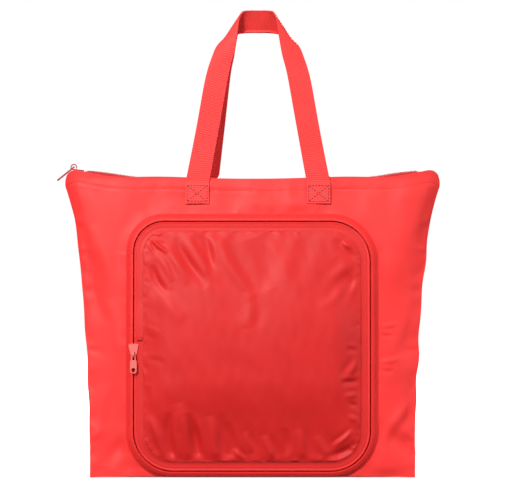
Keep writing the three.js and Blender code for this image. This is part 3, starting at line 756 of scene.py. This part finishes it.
def zip_tape(name, path, outward, offsets, body, nodes, material, loop=False):
    """A tape along the zip line; offsets are (distance from the line, standoff, sewn to the panel)."""
    rows = [zip_points(path, outward, *offset) for offset in offsets]
    tape = sheet_mesh(name, np.stack(rows, axis=1), material, thickness=TAPE_THICK, loop=loop)
    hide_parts(*nodes)
    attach(tape, body)


def zip_teeth(name, path, outward, side, body, node):
    """One half of the coil: a row of rounded loops, each lying square to the zip line."""
    line = zip_points(path, outward, side * COIL_MIDDLE, ZIP_STANDOFF)
    along, _ = resample(line, TOOTH_PITCH)
    nearest = np.array([np.argmin(np.linalg.norm(line - point, axis=1)) for point in along])
    square = np.stack([outward[nearest, 0], np.zeros(len(nearest)), outward[nearest, 1]], axis=1)
    teeth = beads(name, along, square, TOOTH_HALF, TOOTH_RADIUS, COIL, flat=0.6)
    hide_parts(node)
    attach(teeth, body)


# the inner half of the zip is parted at the flap's hinge: the part left of it stays on the bag
on_hinge = ZIP_LINE[:, 0] < HINGE_X + 0.2
order = np.arange(len(ZIP_LINE))
lower_left = order[on_hinge & (ZIP_LINE[:, 1] < 100)]
foot = lower_left[np.argmax(ZIP_LINE[lower_left, 0])]
order = np.roll(order, -foot)
FLAP_PART = order[~on_hinge[order]]
HINGE_PART = np.concatenate([FLAP_PART[-1:], order[on_hinge[order]], FLAP_PART[:1]])
zip_tape("pocket_zip_outer_tape_cloth", ZIP_LINE, ZIP_OUT,
         [(0.55, 4.2), (0.85, 4.85), (2.2, 4.85), (3.3, 4.1), (TAPE_FLAT, 3.1), (TAPE_OUT, 1.6, True),
          (TAPE_OUT + 1.8, 0.8, True)],
         "bag", ["pocket_zip_outer_tape"], POCKET_TAPE_CLOTH, loop=True)
# inside the line the tape shows for 3 mm, and then the pocket's own cloth is folded over it
EDGE_OFFSETS = [(-0.55, 4.2), (-0.85, 4.85), (-2.2, 4.85), (-3.0, 4.6), (-3.8, 4.1)]
FOLD_OFFSETS = [(-3.1, 4.75), (-3.6, 4.95), (-5.6, 4.6), (-8.0, 4.9), (-TAPE_IN - 0.6, FLAP_EDGE + 0.6)]
INNER_PARTS = (("hinge", HINGE_PART, "bag"), ("flap", FLAP_PART, "pocket_flap"))
for part, indices, body in INNER_PARTS:
    line, outward = ZIP_LINE[indices], ZIP_OUT[indices]
    nodes = [f"pocket_zip_{part}_tape"]
    zip_tape(f"pocket_zip_{part}_tape_cloth", line, outward, EDGE_OFFSETS, body, nodes, POCKET_TAPE_CLOTH)
    zip_tape(f"pocket_zip_{part}_fold_cloth", line, outward, FOLD_OFFSETS, body, nodes, FOLD_CLOTH)
zip_teeth("pocket_zip_outer_teeth", ZIP_LINE, ZIP_OUT, 1, "bag", "pocket_zip_outer_coil")
for part, indices, body in INNER_PARTS:
    line, outward = ZIP_LINE[indices], ZIP_OUT[indices]
    zip_teeth(f"pocket_zip_{part}_teeth", line, outward, -1, body, f"pocket_zip_{part}_coil")

# ---- the mouth's zip
MOVING_HALF = 120.0
TAPE_TIP, LAST_TOOTH = 193.6, 188.0
TEETH_RISE, RISE_AT, RISE_WIDTH = 2.5, 165.0, 34.0
SEWN_NARROWEST, SEWN_INSIDE, SEWN_BELOW = 2.6, 1.5, 2.0
TAPE_EDGE = 1.0  # from the middle plane to the tape's edge under the teeth
TAPE_CROWN = 0.25


def mouth_height(x):
    """The zip's own height; it stands up a little where the edge beside it sags, but not in the slider."""
    rise = TEETH_RISE * np.exp(-(((np.abs(x) - RISE_AT) / RISE_WIDTH) ** 2))
    return mouth_z(x) - ZIP_DROP + rise * (1 - smooth(173, 183, np.abs(x)))


def sewn_line(x):
    """Where the mouth's tape meets the facing, from the middle plane."""
    return np.maximum(SEWN_NARROWEST, depth_at(x, mouth_z(x)) - SEWN_INSIDE)


def mouth_tape(name, side, x_from, x_to, columns):
    x = np.linspace(x_from, x_to, columns)[:, None]
    across = np.linspace(0, 1, 8)
    y = TAPE_EDGE + (sewn_line(x) - TAPE_EDGE) * across
    inner_z = mouth_height(x) + TAPE_CROWN
    sewn_z = np.minimum(inner_z, mouth_z(x) - edge_dip(x) - SEWN_BELOW)
    z = inner_z + (sewn_z - inner_z) * across**2 + TAPE_CROWN * np.sin(across * math.pi)
    points = np.stack([np.broadcast_to(x, z.shape), side * y, z], axis=2)
    # the tape's darkened cloth is painted shade along the mouth
    tape = sheet_mesh(name, points, MOUTH_TAPE_PAINTED_SHADE, thickness=TAPE_THICK, out=(0, 0, 1))
    return tape


def mouth_teeth(name, side, x_from, x_to):
    x = np.linspace(x_from, x_to, 200)
    line = np.stack([x, np.full_like(x, side * COIL_MIDDLE), mouth_height(x)], axis=1)
    centres, _ = resample(line, TOOTH_PITCH)
    square = np.tile([0.0, 1.0, 0.0], (len(centres), 1))
    up = np.tile([0.0, 0.0, 1.0], (len(centres), 1))
    # the teeth's darkened nylon is painted shade along the mouth
    teeth = beads(name, centres, square, TOOTH_HALF, TOOTH_RADIUS, MOUTH_COIL_PAINTED_SHADE, flat=0.85, normals=up)
    return teeth


for name, side in (("front", -1), ("back", 1)):
    tape = mouth_tape(f"mouth_tape_{name}_cloth", side, -MOVING_HALF, MOVING_HALF, 120)
    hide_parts(f"top_zip_tape_{name}")
    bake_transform(tape)
    teeth = mouth_teeth(f"mouth_teeth_{name}", side, -MOVING_HALF, MOVING_HALF)
    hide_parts(f"top_zip_coil_{name}")
    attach(teeth, f"{name}_tape")
for end, way in (("left", -1), ("right", 1)):
    for name, side in (("front", -1), ("back", 1)):
        limits = (way * (MOVING_HALF + 0.05), way * TAPE_TIP)
        tape = mouth_tape(f"mouth_{end}_end_{name}_cloth", side, *limits, 50)
        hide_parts(f"top_zip_{end}_end")
        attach(tape, "bag")
        teeth = mouth_teeth(f"mouth_{end}_end_{name}_teeth", side, limits[0], way * LAST_TOOTH)
        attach(teeth, "bag")

# ---- the handles
STRAP_BOTTOM, END_TOP, END_BOTTOM = 311.9, 310.7, 290.0
LEG_DEPTH, LEG_BOW = 15.1, 0.7
STRAP_ROWS, STRAP_COLUMNS, END_ROWS = 150, 18, 26
# three lines along the left half of a strap, from its top down: (x from its centre, how far it leans in, z)
INNER = [(0, 8, 496), (-8, 7.5, 496), (-16.5, 3.5, 494.5), (-19.5, 0, 488), (-21.5, -1.5, 474),
         (-25, -1, 452), (-31, 0, 428), (-41, 0, 372.5), (-52, 0, STRAP_BOTTOM)]
MIDDLE = [(0, 12.5, 484.5), (-11, 12, 484.5), (-22, 10, 483), (-29.5, 5, 476), (-32, 1, 466),
          (-35.5, -0.5, 451), (-43.5, 0, 425), (-53.5, 0, 370), (-64.5, 0, STRAP_BOTTOM)]
OUTER = [(0, 17, 473), (-12, 17, 473), (-23, 16, 471.5), (-34, 12, 467.5), (-43, 5, 459),
         (-48.5, 1.5, 447), (-56, 0, 422), (-66, 0, 367.5), (-77, 0, STRAP_BOTTOM)]


def along_curve(points, t):
    """Points on the smooth curve through the given points, at t from 0 to 1."""
    points = np.array(points, float)
    padded = np.concatenate([[2 * points[0] - points[1]], points, [2 * points[-1] - points[-2]]])
    place = np.clip(t * (len(points) - 1), 0, len(points) - 1 - 1e-9)
    k = place.astype(int)
    f = (place - k)[:, None]
    p0, p1, p2, p3 = (padded[k + n] for n in range(4))
    square = (2 * p0 - 5 * p1 + 4 * p2 - p3) * f**2
    cube = (3 * p1 - p0 - 3 * p2 + p3) * f**3
    return 0.5 * (2 * p1 + (p2 - p0) * f + square + cube)


def strap_half():
    """The left half of a strap from mid-length outwards, curved across through its three lines."""
    t = np.linspace(0, 1, STRAP_ROWS)
    inner, middle, outer = (along_curve(line, t)[:, None, :] for line in (INNER, MIDDLE, OUTER))
    u = np.linspace(0, 1, STRAP_COLUMNS)[None, :, None]
    return inner * 2 * (u - 0.5) * (u - 1) + middle * 4 * u * (1 - u) + outer * 2 * u * (u - 0.5)


def sewn_end(centre, way):
    """The end that lies on the panel under the left (-1) or right (1) leg."""
    x = way * (HANDLE_SPREAD - np.linspace(1, -1, STRAP_COLUMNS) * WEBBING / 2)
    x, z = np.meshgrid(x, np.linspace(END_TOP, END_BOTTOM, END_ROWS))
    depth = depth_at(centre + x, z) + FABRIC_THICK + WEBBING_THICK
    return np.stack([x, LEG_DEPTH - depth, z], axis=2)


def handle_points(side, centre, seed):
    """A whole strap, from its right end over the top to its left end."""
    half = strap_half()
    left = np.concatenate([half, sewn_end(centre, -1)])
    right = np.concatenate([half * [-1, 1, 1], sewn_end(centre, 1)])
    x, lean, z = np.moveaxis(np.concatenate([right[::-1], left[1:]]), 2, 0)
    x = centre + x
    leg = smooth(STRAP_BOTTOM, STRAP_BOTTOM + 40, z) * (1 - smooth(430, 450, z))
    bow = LEG_BOW * ripple(z, x * 0.15, seed, 70, waves=6)
    return np.stack([x, side * (LEG_DEPTH - lean) + bow * leg, z], axis=2)


# how far to the right of the front strap's legs the back strap's left and right legs stand
LEFT_SHOWS, RIGHT_SHOWS = 9.0, 0.8
SHOWS_BELOW, SHOWS_FULLY = 455.0, 320.0


def behind_front(points):
    """The back strap leans so that only its left leg shows beside the front strap, as in the photo."""
    height = points[:, :, 2]
    apart = HANDLE_CENTRE["back"] - HANDLE_CENTRE["front"]
    above_seam = smooth(STRAP_BOTTOM, 322, height)
    shows = LEFT_SHOWS * np.clip((SHOWS_BELOW - height) / (SHOWS_BELOW - SHOWS_FULLY), 0, 1)
    left_shift = (shows - apart) * above_seam
    right_shift = (RIGHT_SHOWS - apart) * above_seam
    right_share = smooth(-14, 14, points[:, :, 0] - HANDLE_CENTRE["back"])
    points[:, :, 0] += left_shift + (right_shift - left_shift) * right_share
    return points


for name, side in (("front", -1), ("back", 1)):
    points = handle_points(side, HANDLE_CENTRE[name], 80 + side)
    if name == "back":
        points = behind_front(points)
    lengths = np.linalg.norm(np.diff(points[:, STRAP_COLUMNS // 2], axis=0), axis=1)
    v = np.concatenate([[0], np.cumsum(lengths)])
    u = np.linspace(-WEBBING / 2, WEBBING / 2, STRAP_COLUMNS)
    uv = np.stack(np.meshgrid(u, v), axis=2)
    strap = sheet_mesh(f"handle_{name}_webbing", points, WEBBING_CLOTH, WEBBING_THICK, (0, side, 0), uv)
    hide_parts(f"handle_{name}", f"handle_{name}_left_end", f"handle_{name}_right_end")
    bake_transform(strap)

# ---- stitches
STITCH, STITCH_GAP = 2.3, 1.0
HEM_THREAD, WEBBING_THREAD, SEAM_THREAD = 0.24, 0.48, 0.26  # radius of each thread
BOX_LOW, BOX_HIGH, BOX_HALF_WIDTH = END_BOTTOM + 2.2, 309.0, WEBBING / 2 - 1.9
ON_WEBBING = WEBBING_THICK + 0.5


def stitch_line(name, path, body, radius, material=THREAD):
    points, direction = resample(path, STITCH + STITCH_GAP)
    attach(beads(name, points, direction, STITCH / 2, radius, material), body)


def on_panel(x, z, side, lift):
    """Points on the front (-1) or back (1) panel's smooth shape, lifted off it."""
    x, z = np.asarray(x, float), np.asarray(z, float)
    return np.stack([x, side * (depth_at(x, z) + lift), z], axis=1)


for name, side in (("front", -1), ("back", 1)):
    share = np.linspace(-0.985, 0.985, 300)
    z = panel_top(share) - edge_dip(share * TOP_HALF_WIDTH) - FACING_HEIGHT
    x = share * half_width(z)
    path = on_panel(x, z, side, lift_on(LIFTS[name], x, z) + 0.15)
    stitch_line(f"{name}_hem_stitches", path, "bag", HEM_THREAD)
    for leg, way in (("left", -1), ("right", 1)):
        middle = HANDLE_CENTRE[name] + way * HANDLE_SPREAD
        near, far = middle - BOX_HALF_WIDTH, middle + BOX_HALF_WIDTH
        seams = {
            "box_stitches": ([near, far, far, near, near], [BOX_LOW, BOX_LOW, BOX_HIGH, BOX_HIGH, BOX_LOW]),
            "cross_stitches_1": ([near, far], [BOX_LOW, BOX_HIGH]),
            "cross_stitches_2": ([near, far], [BOX_HIGH, BOX_LOW]),
        }
        for seam, (x, z) in seams.items():
            path = on_panel(x, z, side, ON_WEBBING)
            stitch_line(f"{name}_{leg}_{seam}", path, "bag", WEBBING_THREAD)


def pocket_seam(name, part, offset, standoff, body):
    path = zip_points(ZIP_LINE[part], ZIP_OUT[part], offset, standoff)
    stitch_line(name, path, body, SEAM_THREAD, POCKET_THREAD)


ALL_ROUND = np.concatenate([np.arange(len(ZIP_LINE)), [0]])
pocket_seam("pocket_outer_seam_stitches", ALL_ROUND, TAPE_FLAT - 0.4, ZIP_STANDOFF, "bag")
pocket_seam("pocket_hinge_seam_stitches", HINGE_PART, -TAPE_IN + 0.6, FLAP_EDGE + 0.5, "bag")
pocket_seam("pocket_flap_seam_stitches", FLAP_PART, -TAPE_IN + 0.6, FLAP_EDGE + 0.5, "pocket_flap")

# ---- sliders and the sewn tab
WORN_EDGE = 0.25
PART_MATERIALS = {
    # the mouth's slider and pull take the darkened pink metal: painted shade
    "top_zip_slider": PAINTED_SHADE_PULL_METAL, "top_zip_pull": PAINTED_SHADE_PULL_METAL,
    "pocket_zip_slider": PINK_METAL, "pocket_zip_pull": PINK_METAL, "pocket_zip_end_tab": END_TAB_CLOTH,
}


def wear_edges(part):
    bevel = part.modifiers.new("worn edges", "BEVEL")
    bevel.width = WORN_EDGE * MM
    bevel.segments = 3
    bevel.limit_method = "ANGLE"
    return bevel


for name, material in PART_MATERIALS.items():
    part = frame["nodes"][name]
    bevel = wear_edges(part)
    bevel.angle_limit = math.radians(35)
    bevel.harden_normals = True
    part.data.materials.clear()
    part.data.materials.append(material)

# the mouth's pull hangs lower than its CAD node, over the corner of the bag
PULL_DROOP = math.radians(39)
PULL_LONGER = 1.14
swing = next(j for j in frame["record"]["behaviour"]["joints"] if j["name"] == "mouth_pull_swing")
pivot = Vector(swing["pos_m"])
pull_mesh = frame["nodes"]["top_zip_pull"].data.copy()
droop_and_lengthen = Matrix.Rotation(-PULL_DROOP, 4, "Y") @ Matrix.Diagonal((PULL_LONGER, 1, 1, 1))
pull_mesh.transform(Matrix.Translation(pivot) @ droop_and_lengthen @ Matrix.Translation(-pivot))
pull = bpy.data.objects.new("mouth_pull_drooping", pull_mesh)
scene.collection.objects.link(pull)
wear_edges(pull)
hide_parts("top_zip_pull")
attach(pull, "top_pull")

# ---- stage, lights and camera
scene.view_settings.view_transform = "Standard"

FLOOR_HALF, FLOOR_Z = 3.0, -0.0006
floor_mesh = bpy.data.meshes.new("floor")
corners = [(x * FLOOR_HALF, y * FLOOR_HALF, FLOOR_Z) for x, y in ((-1, -1), (1, -1), (1, 1), (-1, 1))]
floor_mesh.from_pydata(corners, [], [(0, 1, 2, 3)])
floor = bpy.data.objects.new("floor", floor_mesh)
scene.collection.objects.link(floor)
floor_material, floor_shader = principled("studio_floor", (0.9, 0.9, 0.9), 0.9)
floor_shader.inputs["Emission Color"].default_value = (1, 1, 1, 1)
floor_shader.inputs["Emission Strength"].default_value = 0.7
floor_mesh.materials.append(floor_material)
floor.visible_diffuse = False
floor.visible_glossy = False

# the camera sees plain white; the light itself comes more from above than from below
LOW_LIGHT, HIGH_LIGHT, WORLD_SEEN = 0.1, 0.5, 1.0
scene.world = bpy.data.worlds.new("studio")
scene.world.use_nodes = True
sky = scene.world.node_tree
background = sky.nodes["Background"]
background.inputs["Color"].default_value = (1, 1, 1, 1)
direction = sky.nodes.new("ShaderNodeTexCoord")
axes = sky.nodes.new("ShaderNodeSeparateXYZ")
height = sky.nodes.new("ShaderNodeMapRange")
for end, value in (("From Min", -0.5), ("From Max", 0.5), ("To Min", LOW_LIGHT), ("To Max", HIGH_LIGHT)):
    height.inputs[end].default_value = value
sky.links.new(direction.outputs["Generated"], axes.inputs["Vector"])
sky.links.new(axes.outputs["Z"], height.inputs["Value"])
sky.links.new(height.outputs["Result"], background.inputs["Strength"])
seen = sky.nodes.new("ShaderNodeBackground")
seen.inputs["Color"].default_value = (1, 1, 1, 1)
seen.inputs["Strength"].default_value = WORLD_SEEN
path_kind = sky.nodes.new("ShaderNodeLightPath")
choice = sky.nodes.new("ShaderNodeMixShader")
sky.links.new(path_kind.outputs["Is Camera Ray"], choice.inputs["Fac"])
sky.links.new(background.outputs["Background"], choice.inputs[1])
sky.links.new(seen.outputs["Background"], choice.inputs[2])
sky.links.new(choice.outputs["Shader"], sky.nodes["World Output"].inputs["Surface"])


AIM = Vector((0, 0, 0.22))


def area_light(name, place, size, power):
    light = bpy.data.lights.new(name, "AREA")
    light.shape = "DISK"
    light.size = size
    light.energy = power
    obj = bpy.data.objects.new(name, light)
    obj.location = place
    obj.rotation_euler = (AIM - Vector(place)).to_track_quat("-Z", "Y").to_euler()
    scene.collection.objects.link(obj)


area_light("key", (-1.0, -2.1, 1.6), 0.7, 72)
area_light("fill", (1.9, -1.6, 0.9), 0.9, 14)
area_light("back", (0.9, 2.2, 1.5), 0.8, 60)

camera_data = bpy.data.cameras.new("camera")
camera = bpy.data.objects.new("camera", camera_data)
scene.collection.objects.link(camera)
camera.location = (0, -2.6, 0.2406)
camera.rotation_euler = (math.radians(90), 0, 0)
camera_data.sensor_width = 36
camera_data.lens = 173.4
scene.camera = camera
